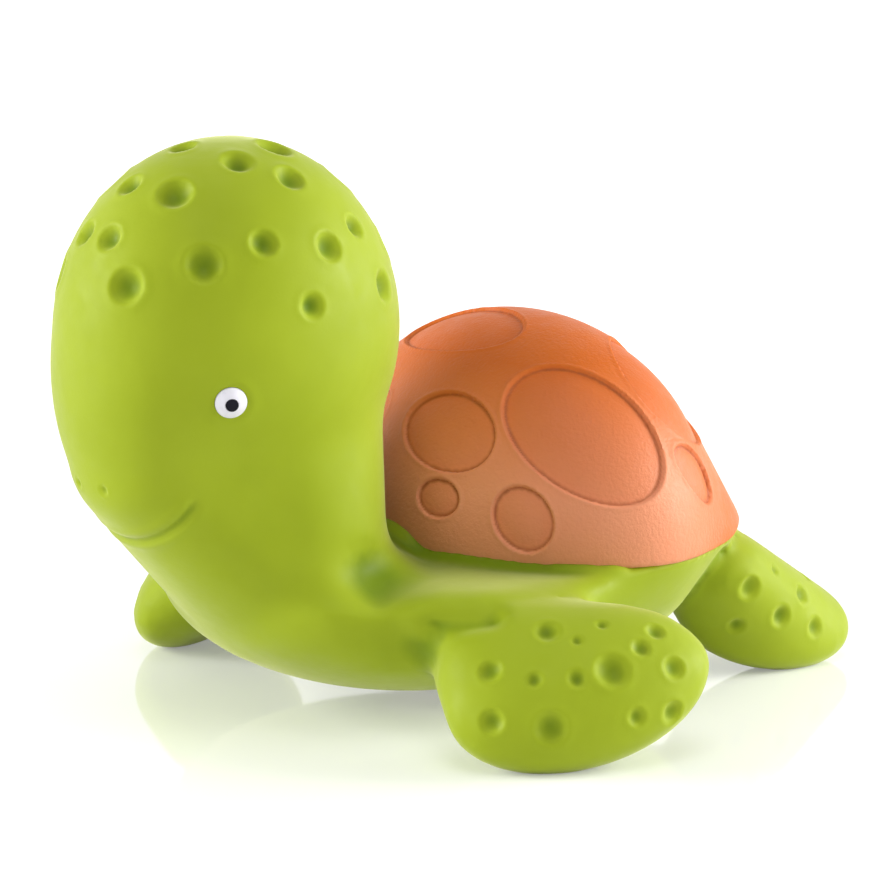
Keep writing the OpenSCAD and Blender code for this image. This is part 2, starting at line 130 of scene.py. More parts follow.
FRONT_ROOT = Egg((SIDE_X - 3.5, -8.5, 18), (10, 10, 7.5))
SHOULDER_ROOT = Egg(FRONT_ROOT.c - (0, 0, 3.5), FRONT_ROOT.r)
FRONT_PADDLE = on_floor(SIDE_X + 8.5, -3, (12, 19.5, 8), (20, 48, -5))
REAR_ROOT = Egg((19, BRIM.c[1] + 17, RIM_Z - SHELL_GAP - 6.5), (9, 9, 6.5))
REAR_PADDLE = on_floor(18.5, REAR_ROOT.c[1] + 11, (9.5, 15.5, 6), (-11, 36, -15))

# Dimples on the head: turn, rise, diameter
HEAD_DIMPLES = [(35, 50, 5.4), (70, 65, 4.8), (100, 55, 4.6), (10, 33, 4.2), (25, 19, 5.4), (53, 26, 5.6),
                (75, 32, 4.2), (102, 29, 4.6), (90, 12, 4), (122, 34, 3.8), (128, 14, 4.8), (125, 72, 5.6),
                (150, 25, 4.4), (155, 50, 4.8)]
MID_DIMPLES = [(0, 74, 4.2), (0, 52, 4)]
# Dimples on a flipper: angle round it, share along it, diameter
FRONT_DIMPLES = [(35, 0.45, 3.9), (25, 0.8, 2), (35, 0.75, 2), (60, 0.6, 3.6), (50, 0.9, 2.6), (45, 1.05, 3),
                 (40, 1.1, 5.2), (30, 1.1, 3), (20, 1.1, 3), (30, 1.3, 3.6), (70, 1.15, 3.7), (65, 1.3, 5),
                 (55, 1.45, 2.8), (50, 1.65, 3.7)]
REAR_DIMPLES = [(100, 0.05, 3.9), (130, 0.5, 3), (95, 0.5, 3.7), (60, 0.5, 3.3), (80, 0.8, 3.4),
                (55, 0.15, 2), (25, 0.65, 2)]
# Depth and rim of a dimple, as shares of its diameter
DENT = 0.28
FLIPPER_DENT = 0.22
DENT_RIM = 0.022
# Pans on the shell: turn, rise, width, height, roll
PANS = [(17.5, 30, 17, 12, -12), (18, 11, 7.2, 5.8, 0), (42, 8, 10.3, 8.8, -45), (63.5, 34, 27, 18, -42),
        (130, 43, 25, 19, 20), (109.5, 18, 11, 6.8, -54), (-19, 70, 26, 13.5, 12), (180, 27, 13, 10, 0),
        (-20, 28, 14, 11, 12), (-16, 10, 6.4, 5.6, 0), (-43, 8, 9.8, 8.8, 45), (-68, 28, 22, 15, 40),
        (-130, 43, 25, 19, -20), (-109.5, 18, 11, 6.8, 54)]
PAN_DEPTH = 0.55
PAN_EDGE = 0.34
# Lip beside a pan and rise of its floor, as shares of its depth; height over which it is pressed
PAN_LIP = 0.2
PAN_CROWN = 0.45
PAN_REACH = 12
# Eyes: turn and rise on the skull. Sockets and nostrils: diameter, depth, rim
EYE_AT = (62, -15)
EYE_D = 4.5
EYE_PLAY = 0.05
EYE_BORE = (-1.7, 3)
SOCKET = (EYE_D + 1.2, 0.25, 0.12)
NOSTRIL_X = 3.3
NOSTRIL_RISE = -42
NOSTRIL = (1.8, 0.35, 0.06)
SMILE_R, SMILE_ARC, SMILE_LEAN = 17, 116, 24
SMILE_FOOT = CHIN.c - (0, 2.5, CHIN.r[2] + 0.5)
# Line of the smile: width, depth, lip, share of the length that fades at each end
SMILE_CUT = (0.7, 0.5, 0.25, 0.06)
# Soft valleys on the left side, mirrored to the right: points to follow, width, depth
NECK_VALLEY = [(18.5, -18.7, 30), (20.5, -19.5, 25), (25, -22, 22), (29, -22.5, 17), (31, -19.5, 9)]
LIMB_VALLEY = [(30, -20, 17.5), (33, -17.5, 19.3), (36.5, -14, 20.5), (39.5, -9.5, 21)]
VALLEYS = [(np.array(NECK_VALLEY), 4.8, 1.9), (np.array(LIMB_VALLEY), 2.4, 1.7)]
VALLEY_LIP, VALLEY_ENDS = 0, 0.22
# Holes for the squeaker's flange and barrel: radius, low, high
FLANGE_BORE = (7.05, -1, 4.2)
BARREL_BORE = (6.6, 4.0, 24)

# Meshing: voxel sizes, rounds of relaxing, rounds of smoothing that find the hollows and folds for the
# painted shade, angle of a sharp edge
SKIN_VOXEL, SHELL_VOXEL = 0.9, 0.6
SKIN_RELAX, SHELL_RELAX = 90, 8
SHELL_ROUND = 0.3
FOLD_ROUNDS, SKIN_HOLLOW, SHELL_HOLLOW = 160, 28, 10
SHARP = 55
# Where the skin fills and rounds: each pair is the span of a smooth step
FRONT_LIMB, FRONT_FIRM, REAR_LIMB = (14, 20), (7, 11), (11, 16)
NAPE_Z, NAPE_Y = (RIM_Z + 3, RIM_Z + 9), (-16, -10)
DECK_LOW, DECK_HIGH, DECK_Y = (14, 19), (RIM_Z + 3, RIM_Z + 7), (-32, -22)
FOOT_MID, FOOT_SIDE, FOOT_Y, FOOT_Z = (-3, 3), (4, 10), (-12, -8), (RIM_Z - 3, RIM_Z - 1)
FILL, NAPE_LOSS, LIMB_LOSS, FOOT_LOSS = 0.55, 0.42, 0.92, 0.94
SOFTEN, DECK_SOFTEN = 0.02, 0.25
# Skin that may lie under the shell, and the span of its distance from the dome over which it stays outside
SEAT_Z = RIM_Z - 0.2
SEAT_Y = LOBE.c[1] - LOBE.r[1] - 6
SEAT_KEEP = (0.1, 0.5)
FACING_DOWN = -0.9


def limb_place(a, b, angle, share):
    """Point and normal on the limb that joins eggs a and b."""
    axis = unit(b.c - a.c)
    top = unit(UP - axis[2] * axis)
    side = math.cos(math.radians(angle)) * top + math.sin(math.radians(angle)) * np.cross(axis, top)

    def normal(lean):
        return math.cos(lean) * side + math.sin(lean) * axis

    low, high = math.radians(-89), math.radians(89)
    for _ in range(24):
        lean = (low + high) / 2
        n = normal(lean)
        low, high = (lean, high) if n @ a.touch(n) > n @ b.touch(n) else (low, lean)
    if share > 1:
        n = normal(lean + (share - 1) * (math.pi / 2 - lean))
        return b.touch(n), n
    n = normal(lean)
    return (1 - share) * a.touch(n) + share * b.touch(n), n


def mirrored(p):
    return p * np.array([-1, 1, 1])


# Mesh helpers: closed forms from eggs, remeshed to even quads and held as numpy arrays

def hull_of(bm, points, below=None, above=None):
    """Adds the convex hull of points to bm, cut flat at a height if asked."""
    part = bmesh.new()
    for p in points:
        part.verts.new(p)
    got = bmesh.ops.convex_hull(part, input=part.verts)
    spare = {g for g in got["geom_interior"] + got["geom_unused"] if isinstance(g, bmesh.types.BMVert)}
    bmesh.ops.delete(part, geom=[v for v in spare if v.is_valid], context="VERTS")
    for z, side in ((below, 1), (above, -1)):
        if z is None:
            continue
        bmesh.ops.bisect_plane(part, geom=part.verts[:] + part.edges[:] + part.faces[:], dist=1e-5,
                               plane_co=(0, 0, z), plane_no=(0, 0, side), clear_outer=True)
        bmesh.ops.contextual_create(part, geom=[e for e in part.edges if e.is_boundary])
    bmesh.ops.recalc_face_normals(part, faces=part.faces)
    mesh = bpy.data.meshes.new("hull")
    part.to_mesh(mesh)
    part.free()
    bm.from_mesh(mesh)
    bpy.data.meshes.remove(mesh)


def object_of(bm, name):
    mesh = bpy.data.meshes.new(name)
    bm.to_mesh(mesh)
    bm.free()
    obj = bpy.data.objects.new(name, mesh)
    bpy.context.collection.objects.link(obj)
    return obj


def apply_modifiers(obj):
    dg = bpy.context.evaluated_depsgraph_get()
    mesh = bpy.data.meshes.new_from_object(obj.evaluated_get(dg), depsgraph=dg)
    old = obj.data
    obj.modifiers.clear()
    obj.data = mesh
    bpy.data.meshes.remove(old)


def remesh(obj, voxel):
    mod = obj.modifiers.new("even", "REMESH")
    mod.mode = "VOXEL"
    mod.voxel_size = voxel
    mod.adaptivity = 0
    apply_modifiers(obj)


def subdivide(obj, levels):
    mod = obj.modifiers.new("fine", "SUBSURF")
    mod.levels = mod.render_levels = levels
    apply_modifiers(obj)


def arrays(obj):
    mesh = obj.data
    co = np.zeros(len(mesh.vertices) * 3)
    mesh.vertices.foreach_get("co", co)
    quads = np.zeros(len(mesh.loops), np.int64)
    mesh.loops.foreach_get("vertex_index", quads)
    return co.reshape(-1, 3), quads.reshape(-1, 4)


def put(obj, co):
    obj.data.vertices.foreach_set("co", co.astype(np.float32).ravel())
    obj.data.update()


def spread(index, values, n):
    return np.stack([np.bincount(index, values[:, k], n) for k in range(3)], 1)


def normals_of(co, quads):
    n = np.cross(co[quads[:, 2]] - co[quads[:, 0]], co[quads[:, 3]] - co[quads[:, 1]])
    total = sum(spread(quads[:, k], n, len(co)) for k in range(4))
    return total / np.maximum(np.linalg.norm(total, axis=1), 1e-12)[:, None]


def neighbours(quads):
    pairs = np.concatenate([quads[:, [k, (k + 1) % 4]] for k in range(4)])
    return np.unique(np.sort(pairs, 1), axis=0)


def pull(co, edges):
    """Vector from each point to the mean of its neighbours."""
    a, b = edges.T
    n = len(co)
    total = spread(a, co[b], n) + spread(b, co[a], n)
    count = np.bincount(a, minlength=n) + np.bincount(b, minlength=n)
    return total / np.maximum(count, 1)[:, None] - co


def relax(co, quads, rounds, fill, soften):
    """Fills creases and rounds edges: points in a hollow move out by fill, the others in by soften."""
    edges = neighbours(quads)
    for _ in range(rounds):
        move = pull(co, edges)
        hollow = (move * normals_of(co, quads)).sum(1) > 0
        co = co + move * np.where(hollow, fill, soften)[:, None]
    return co


def rise_between(x, low, high):
    """Smooth step from 0 at low to 1 at high."""
    t = np.clip((x - low) / (high - low), 0, 1)
    return t * t * (3 - 2 * t)


def from_line(co, a, b):
    """Distance from the line between two points, on either side of the toy."""
    co = np.abs(co) * np.array([1, 0, 0]) + co * np.array([0, 1, 1])
    t = np.clip((co - a) @ (b - a) / ((b - a) @ (b - a)), 0, 1)
    return np.linalg.norm(co - a - t[:, None] * (b - a), axis=1)


def softness(co):
    """How far creases fill and edges round, place by place."""
    x, y, z = co.T
    front = from_line(co, SHOULDER_ROOT.c, FRONT_PADDLE.c)
    rear = 1 - rise_between(from_line(co, REAR_ROOT.c, REAR_PADDLE.c), *REAR_LIMB)
    limb = np.maximum(1 - rise_between(front, *FRONT_LIMB), rear)
    firm = np.maximum(1 - rise_between(front, *FRONT_FIRM), rear)
    nape = rise_between(z, *NAPE_Z) * rise_between(y, *NAPE_Y)
    deck = rise_between(z, *DECK_LOW) * (1 - rise_between(z, *DECK_HIGH)) * rise_between(y, *DECK_Y)
    foot = np.maximum(rise_between(y, *FOOT_MID), rise_between(np.abs(x), *FOOT_SIDE))
    foot = foot * rise_between(y, *FOOT_Y) * rise_between(z, *FOOT_Z)
    fill = (FILL - NAPE_LOSS * nape) * (1 - LIMB_LOSS * limb) * (1 - FOOT_LOSS * foot)
    return fill, SOFTEN + DECK_SOFTEN * deck * (1 - firm)


# Surface detail, pressed into the points

# A dimple's bowl, its rim and reach in radii, and its reach in height as a share of the diameter
BOWL_POWER = 1.2
RIM_AT, RIM_WIDE, DENT_REACH = 1.15, 0.25, 2
DENT_HEIGHT = 0.6
# A groove's reach in mm, place of its lip in widths, and start of its fade as a share of the length
GROOVE_REACH = 30
LIP_AT = 2.2
FADE_FROM = -0.02


def dent(co, place, normal, d, depth, rim):
    """A soft round dimple of diameter d with a faint raised rim."""
    rel = co - place
    height = rel @ normal
    s = np.linalg.norm(rel - height[:, None] * normal, axis=1) / (d / 2)
    near = (np.abs(height) < DENT_HEIGHT * d) & (s < DENT_REACH)
    bowl = np.where(s < 1, (1 - np.minimum(s, 1) ** 2) ** BOWL_POWER, 0)
    ring = np.exp(-((s - RIM_AT) / RIM_WIDE) ** 2)
    return co + np.where(near, rim * ring - depth * bowl, 0)[:, None] * normal


def smile_line():
    a = np.radians(270 + np.linspace(-SMILE_ARC / 2, SMILE_ARC / 2, 90))
    rise = SMILE_R * (1 + np.sin(a))
    lean = math.radians(90 - SMILE_LEAN)
    return SMILE_FOOT + np.stack([SMILE_R * np.cos(a), rise * math.cos(lean), rise * math.sin(lean)], 1)


def groove(co, normals, line, width, depth, lip, ends):
    """A soft line pressed in along points, with a faint lip beside it, that fades out at both ends."""
    near = np.where(np.linalg.norm(co - line.mean(0), axis=1) < GROOVE_REACH)[0]
    away = np.linalg.norm(co[near, None, :] - line[None], axis=2)
    k = away.argmin(1)
    gap = away.min(1)
    fade = rise_between(np.minimum(k, len(line) - 1 - k) / len(line), FADE_FROM, ends)
    cut = -np.exp(-((gap / width) ** 2)) + lip * np.exp(-(((gap - LIP_AT * width) / width) ** 2))
    out = co.copy()
    out[near] += (depth * fade * cut)[:, None] * normals[near]
    return out


def along(corners, n=60):
    """Evenly spaced points along straight runs between corners."""
    run = np.concatenate([[0], np.cumsum(np.linalg.norm(np.diff(corners, axis=0), axis=1))])
    return np.stack([np.interp(np.linspace(0, run[-1], n), run, corners[:, k]) for k in range(3)], 1)


def pan(co, normals, turn, rise, w, h, roll):
    """A shallow oval pan with a crisp soft edge, a faint lip and a slightly crowned floor."""
    place, n = CROWN.at(turn, rise)
    level = unit(np.cross(UP, n))
    up = np.cross(n, level)
    r = math.radians(roll)
    along_w = math.cos(r) * level + math.sin(r) * up
    along_h = np.cross(n, along_w)
    rel = co - place
    s = np.hypot(2 * (rel @ along_w) / w, 2 * (rel @ along_h) / h)
    inside = (1 - s) * (w + h) / 4
    step = np.clip(inside / PAN_EDGE + 0.5, 0, 1)
    step = step * step * (3 - 2 * step)
    floor = step * (1 - PAN_CROWN * np.clip(1 - s * s, 0, 1))
    lip = np.exp(-(((inside + PAN_EDGE) / PAN_EDGE) ** 2))
    here = np.abs(rel @ n) < PAN_REACH
    move = np.where(here, PAN_LIP * lip - floor, 0) * PAN_DEPTH
    return co + move[:, None] * normals, np.where(here, step, 0)


def mark(obj, name, values):
    layer = obj.data.attributes.new(name, "FLOAT", "POINT")
    layer.data.foreach_set("value", values.astype(np.float32))


def hollowness(co, quads, rounds):
    """How far each point lies in a hollow, in millimetres."""
    edges = neighbours(quads)
    soft = co
    for _ in range(rounds):
        soft = soft + 0.5 * pull(soft, edges)
    return ((soft - co) * normals_of(co, quads)).sum(1)


def cut_away(obj, cutters):
    for c in cutters:
        mod = obj.modifiers.new("cut", "BOOLEAN")
        mod.operation = "DIFFERENCE"
        mod.solver = "MANIFOLD"
        mod.object = c
        apply_modifiers(obj)
    for c in cutters:
        bpy.data.objects.remove(c)


def post(place, axis, radius, low, high, sides=48):
    """A cylinder along axis from low to high, for cutting."""
    bm = bmesh.new()
    bmesh.ops.create_cone(bm, cap_ends=True, segments=sides, radius1=radius, radius2=radius,
                          depth=high - low)
    obj = object_of(bm, "cutter")
    turn = Vector(axis).to_track_quat("Z", "Y").to_matrix().to_4x4()
    turn.translation = Vector(place) + Vector(axis) * (low + high) / 2
    obj.data.transform(turn)
    return obj


def finish_mesh(obj):
    """Into the frame, in metres, with smooth faces and sharp cut edges."""
    co = np.zeros(len(obj.data.vertices) * 3)
    obj.data.vertices.foreach_get("co", co)
    put(obj, (co.reshape(-1, 3) + MIDDLE) * MM)
    for p in obj.data.polygons:
        p.use_smooth = True
    obj.data.set_sharp_from_angle(angle=math.radians(SHARP))


# The pieces

def dome_points(inset):
    return np.concatenate([e.points(inset) for e in (CROWN, BRIM, LOBE)])


def dome_solid(inset, base):
    bm = bmesh.new()
    hull_of(bm, dome_points(inset), above=base)
    return bm


def seat_under_shell(co):
    """Sinks the skin where the shell covers it; the soft fillet around the shell's foot stays outside."""
    bm = dome_solid(0, RIM_Z)
    bmesh.ops.triangulate(bm, faces=bm.faces)
    tree = BVHTree.FromBMesh(bm)
    bm.free()
    out = co.copy()
    for i in np.where((co[:, 2] > SEAT_Z) & (co[:, 1] > SEAT_Y))[0]:
        hit, normal, _, _ = tree.find_nearest(Vector(co[i]))
        away = (Vector(co[i]) - hit).dot(normal)
        if normal.z > FACING_DOWN and away < SEAT_KEEP[1]:
            keep = float(rise_between(np.array(away), *SEAT_KEEP))
            under = hit - normal * (SHELL_T + SHELL_GAP)
            out[i] = keep * co[i] + (1 - keep) * np.array(under)
    return out


def skin_hulls():
    """The green forms as overlapping closed hulls, to be fused by the remesh."""
    bm = bmesh.new()
    hull_of(bm, np.concatenate([SKULL.points(), FACE.points()]))
    hull_of(bm, np.concatenate([CHIN.points(), NECK.points(), CHEST.points()]))
    trunk = TRUNK.points()
    trunk = trunk[trunk[:, 2] <= TRUNK_Z]
    rear = [HIPS.points(SHELL_PROUD), BRIM.points(SHELL_PROUD)]
    hull_of(bm, np.concatenate([trunk, SHOULDERS.points()] + rear), below=RIM_Z - SHELL_GAP)
    for root, paddle in ((SHOULDER_ROOT, FRONT_PADDLE), (REAR_ROOT, REAR_PADDLE)):
        limb = np.concatenate([root.points(), paddle.points()])
        hull_of(bm, limb)
        hull_of(bm, mirrored(limb))
    hull_of(bm, NAPE.points())
    hull_of(bm, dome_points(0), above=RIM_Z - 1)
    return object_of(bm, "rubber_skin")


def soften_skin(skin):
    """Fills the creases, presses the valleys in and seats the skin under the shell."""
    co, quads = arrays(skin)
    co = relax(co, quads, SKIN_RELAX, *softness(co))
    for corners, width, depth in VALLEYS:
        for line in (along(corners), mirrored(along(corners))):
            co = groove(co, normals_of(co, quads), line, width, depth, VALLEY_LIP, VALLEY_ENDS)
    co = seat_under_shell(co)
    put(skin, co)
    # Depth of the broad folds, which sets the painted shade in the creases
    mark(skin, "fold", hollowness(co, quads, FOLD_ROUNDS))


def both_sides(co, p, n, d, share):
    """A dimple and its mirror image."""
    co = dent(co, p, n, d, share * d, DENT_RIM * d)
    return dent(co, mirrored(p), mirrored(n), d, share * d, DENT_RIM * d)


def press_dimples(co):
    for turn, rise, d in HEAD_DIMPLES:
        co = both_sides(co, *SKULL.at(turn, rise), d, DENT)
    for turn, rise, d in MID_DIMPLES:
        co = dent(co, *SKULL.at(turn, rise), d, DENT * d, DENT_RIM * d)
    limbs = ((FRONT_ROOT, FRONT_PADDLE, FRONT_DIMPLES), (REAR_ROOT, REAR_PADDLE, REAR_DIMPLES))
    for root, paddle, dents in limbs:
        for angle, share, d in dents:
            co = both_sides(co, *limb_place(root, paddle, angle, share), d, FLIPPER_DENT)
    return co


def press_face(co):
    turn = math.degrees(math.asin(NOSTRIL_X / FACE.r[0] / math.cos(math.radians(NOSTRIL_RISE))))
    for side in (1, -1):
        co = dent(co, *FACE.at(side * turn, NOSTRIL_RISE), *NOSTRIL)
        co = dent(co, *SKULL.at(side * EYE_AT[0], EYE_AT[1]), *SOCKET)
    return co


def build_skin():
    """The green moulding, and a copy in millimetres to cut the shell with."""
    skin = skin_hulls()
    remesh(skin, SKIN_VOXEL)
    soften_skin(skin)
    subdivide(skin, 1)
    co, quads = arrays(skin)
    co = groove(co, normals_of(co, quads), smile_line(), *SMILE_CUT)
    co = press_face(press_dimples(co))
    co[:, 2] = np.maximum(co[:, 2], 0)
    put(skin, co)
    # Hollow depth of each point, which sets the painted shade in the dimples and grooves
    mark(skin, "hollow", hollowness(co, quads, SKIN_HOLLOW))
    cutters = [post(SQUEAKER, UP, *FLANGE_BORE), post(SQUEAKER, UP, *BARREL_BORE)]
    for side in (1, -1):
        p, n = SKULL.at(side * EYE_AT[0], EYE_AT[1])
        cutters.append(post(p, n, EYE_D / 2 + EYE_PLAY, *EYE_BORE))
    cut_away(skin, cutters)
    whole = skin.copy()
    whole.data = skin.data.copy()
    bpy.context.collection.objects.link(whole)
    finish_mesh(skin)
    return skin, whole


def build_shell(skin):
    shell = object_of(dome_solid(0, RIM_Z), "rubber_shell")
    remesh(shell, SHELL_VOXEL)
    co, quads = arrays(shell)
    co = relax(co, quads, SHELL_RELAX, SHELL_ROUND, SHELL_ROUND)
    put(shell, co)
    subdivide(shell, 1)
    co, quads = arrays(shell)
    normals = normals_of(co, quads)
    inside = np.zeros(len(co))
    for p in PANS:
        co, here = pan(co, normals, *p)
        inside = np.maximum(inside, here)
    put(shell, co)
    # Inside of each pan, which sets the painted shade on the pan floors
    mark(shell, "pan", inside)
    # Hollow depth of each point, which sets the painted shade along the pans' edges
    mark(shell, "hollow", hollowness(co, quads, SHELL_HOLLOW))
    cut_away(shell, [object_of(dome_solid(SHELL_T, RIM_Z - 3), "cutter"), skin])
    finish_mesh(shell)
    return shell


def eye_pieces(side):
    """Copies of the frame's white dome and dark pupil, which replace them."""
    name = "left" if side > 0 else "right"
    made = []
    for kind in ("eye", "pupil"):
        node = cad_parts[f"{kind}_{name}"]
        piece = node.copy()
        piece.data = node.data.copy()
        piece.name = f"{kind}_{name}_gloss"
        piece.parent = None
        piece.matrix_world.identity()
        bpy.context.collection.objects.link(piece)
        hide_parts(f"{kind}_{name}")
        made.append(piece)
    return made


# Materials

# Spans in metres where the painted reflection, a pale pinkish gloss on the shell's foot, fades upward and
# rearward into the crown's colour
PAINTED_GLOSS_RISE = (0.033, 0.051)
PAINTED_GLOSS_REAR = (0.016, 0.034)
# Share of the painted shade on the recessed pan floors, a tint towards a deeper orange
PAN_SHADE_SHARE = 0.28
# Depths in mm over which a hollow or a fold takes its painted shade, a darker colour put where shade falls
SKIN_HOLLOW_SHADE, SKIN_FOLD_SHADE, SHELL_HOLLOW_SHADE = (0.04, 0.5), (0.12, 1.5), (0.012, 0.24)
# Depth to which light goes into the rubber, in metres
LIGHT_DEPTH = 0.003
# Share of the noise at which a ramp's two colours stand
RAMP = (0.3, 0.7)


def linear(r, g, b):
    """Scene colour of an sRGB colour given in 0 to 255."""
    return tuple((c / 255 / 12.92) if c <= 10 else ((c / 255 + 0.055) / 1.055) ** 2.4
                 for c in (r, g, b)) + (1,)


def new_material(name, **values):
    mat = bpy.data.materials.new(name)
    mat.use_nodes = True
    shader = mat.node_tree.nodes["Principled BSDF"]
    for key, value in values.items():
        shader.inputs[key.replace("_", " ")].default_value = value
    return mat, mat.node_tree, shader


def noise(tree, scale, detail=3.0, rough=0.5):
    where = tree.nodes.new("ShaderNodeTexCoord")
    n = tree.nodes.new("ShaderNodeTexNoise")
    n.inputs["Scale"].default_value = scale
    n.inputs["Detail"].default_value = detail
    n.inputs["Roughness"].default_value = rough
    tree.links.new(where.outputs["Object"], n.inputs["Vector"])
    return n.outputs["Fac"]


def ramp(tree, value, low, high, stops=RAMP):
    r = tree.nodes.new("ShaderNodeValToRGB")
    for e, at, colour in zip(r.color_ramp.elements, stops, (low, high)):
        e.position = at
        e.color = colour
    tree.links.new(value, r.inputs["Fac"])
    return r.outputs["Color"]


def mix(tree, share, a, b):
    m = tree.nodes.new("ShaderNodeMix")
    m.data_type = "RGBA"
    for value, socket in ((share, m.inputs[0]), (a, m.inputs[6]), (b, m.inputs[7])):
        if isinstance(value, (int, float, tuple)):
            socket.default_value = value
        else:
            tree.links.new(value, socket)
    return m.outputs[2]


def scaled(tree, value, low, high, to_low=0.0, to_high=1.0):
    m = tree.nodes.new("ShaderNodeMapRange")
    for key, number in (("From Min", low), ("From Max", high), ("To Min", to_low), ("To Max", to_high)):
        m.inputs[key].default_value = number
    tree.links.new(value, m.inputs["Value"])
    return m.outputs["Result"]


def coordinate(tree, axis):
    where = tree.nodes.new("ShaderNodeTexCoord")
    split = tree.nodes.new("ShaderNodeSeparateXYZ")
    tree.links.new(where.outputs["Object"], split.inputs[0])
    return split.outputs[axis]


def attribute(tree, name):
    a = tree.nodes.new("ShaderNodeAttribute")
    a.attribute_name = name
    return a.outputs["Fac"]


def bump(tree, shader, height, strength, distance, below=None):
    b = tree.nodes.new("ShaderNodeBump")
    b.inputs["Strength"].default_value = strength
    b.inputs["Distance"].default_value = distance
    tree.links.new(height, b.inputs["Height"])
    if below is not None:
        tree.links.new(below, b.inputs["Normal"])
    tree.links.new(b.outputs["Normal"], shader.inputs["Normal"])
    return b.outputs["Normal"]


def skin_material():
    mat, tree, shader = new_material(
        "green_rubber", Sheen_Weight=0.5, Sheen_Roughness=0.36, Specular_IOR_Level=0.16,
        Sheen_Tint=linear(255, 255, 205), Subsurface_Weight=0.12, Subsurface_Radius=(0.9, 1.0, 0.25),
        Subsurface_Scale=LIGHT_DEPTH)
    body = ramp(tree, noise(tree, 45, 3), linear(149, 166, 24), linear(159, 176, 32))
    # Painted shade: darker green in the dimples, grooves and small hollows
    with_painted_shade = mix(tree, scaled(tree, attribute(tree, "hollow"), *SKIN_HOLLOW_SHADE), body, linear(100, 126, 6))
    # Painted shade: darker green in the broad creases between head, limbs and body
    with_painted_shade = mix(tree, scaled(tree, attribute(tree, "fold"), *SKIN_FOLD_SHADE), with_painted_shade, linear(110, 134, 4))
    tree.links.new(with_painted_shade, shader.inputs["Base Color"])
    rough = scaled(tree, noise(tree, 300, 4), -0.9, 1.7)
    tree.links.new(rough, shader.inputs["Roughness"])
    fine = bump(tree, shader, noise(tree, 2600, 3), 0.12, 0.00012)
    bump(tree, shader, noise(tree, 240, 3), 0.10, 0.0004, fine)
    return mat


def shell_material():
    mat, tree, shader = new_material(
        "orange_rubber", Specular_IOR_Level=0.22, Subsurface_Weight=0.1, Subsurface_Radius=(1.0, 0.5, 0.25),
        Subsurface_Scale=LIGHT_DEPTH)
    crown = ramp(tree, noise(tree, 40, 3), linear(203, 97, 16), linear(211, 106, 26))
    # Painted reflection: the foot colour is a pale pinkish gloss that stands in for the lamps' reflection on
    # the shell's lower front
    foot = ramp(tree, noise(tree, 55, 3), linear(229, 146, 106), linear(236, 155, 116))
    body = mix(tree, scaled(tree, coordinate(tree, "Z"), *PAINTED_GLOSS_RISE), foot, crown)
    body = mix(tree, scaled(tree, coordinate(tree, "Y"), *PAINTED_GLOSS_REAR), body, crown)
    # Painted shade: the pan floors are tinted to a deeper orange, as recesses in shade
    body = mix(tree, scaled(tree, attribute(tree, "pan"), 0, 1, 0, PAN_SHADE_SHARE), body, linear(204, 98, 28))
    # Painted shade: darker orange in the small hollows along the pans' edges
    with_painted_shade = mix(tree, scaled(tree, attribute(tree, "hollow"), *SHELL_HOLLOW_SHADE), body, linear(150, 72, 30))
    tree.links.new(with_painted_shade, shader.inputs["Base Color"])
    rough = scaled(tree, noise(tree, 400, 4), -0.9, 2.4)
    tree.links.new(rough, shader.inputs["Roughness"])
    fine = bump(tree, shader, noise(tree, 1700, 4, 0.6), 0.55, 0.00025)
    bump(tree, shader, noise(tree, 420, 3), 0.15, 0.0003, fine)
    return mat


def gloss_material(name, low, high, rough, gloss):
    mat, tree, shader = new_material(name, Specular_IOR_Level=gloss)
    tree.links.new(ramp(tree, noise(tree, 400, 2), low, high), shader.inputs["Base Color"])
    tree.links.new(scaled(tree, noise(tree, 900, 2), -rough, 2.0), shader.inputs["Roughness"])
    return mat


def plastic_material(name, low, high):
    mat, tree, shader = new_material(name, Specular_IOR_Level=0.4)
    tree.links.new(ramp(tree, noise(tree, 250, 3), low, high), shader.inputs["Base Color"])
    tree.links.new(scaled(tree, noise(tree, 700, 3), -1.0, 1.6), shader.inputs["Roughness"])
    bump(tree, shader, noise(tree, 3000, 2), 0.06, 0.0001)
    return mat


def dress(obj, mat):
    obj.data.materials.clear()
    obj.data.materials.append(mat)


def build_toy():
    skin, whole = build_skin()
    dress(skin, skin_material())
    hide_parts("body_skin")
    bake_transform(skin)
    shell = build_shell(whole)
    dress(shell, shell_material())
    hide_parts("carapace")
    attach(shell, "shell")
    white = gloss_material("eye_white", linear(226, 224, 234), linear(236, 234, 242), 0.35, 0.5)
    black = gloss_material("eye_black", linear(14, 13, 24), linear(22, 20, 36), 0.3, 0.12)
    for side in (1, -1):
        eye, pupil = eye_pieces(side)
        dress(eye, white)
        dress(pupil, black)
        for piece in (eye, pupil):
            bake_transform(piece)
    ivory = plastic_material("squeaker_ivory", linear(232, 228, 212), linear(242, 239, 226))
    grey = plastic_material("block_grey", linear(160, 168, 182), linear(172, 180, 194))
    amber = plastic_material("reed_amber", linear(214, 178, 96), linear(226, 190, 108))
    for node, mat in (("squeaker_barrel", ivory), ("squeaker_lid", ivory), ("reed_block", grey),
                      ("reed_clip", grey), ("reed", amber)):
        dress(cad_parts[node], mat)


# Stage: floor, light and the camera at the photograph's viewing angle

AZIMUTH, ELEVATION, DISTANCE = 54.2, 10.95, 561.0
SCALE = 6.7
FRAME_PX = 888
AXIS_PX = (403.4, 463.9)
PIVOT_Z = 35
SENSOR = 36
CLIP = (0.01, 20)
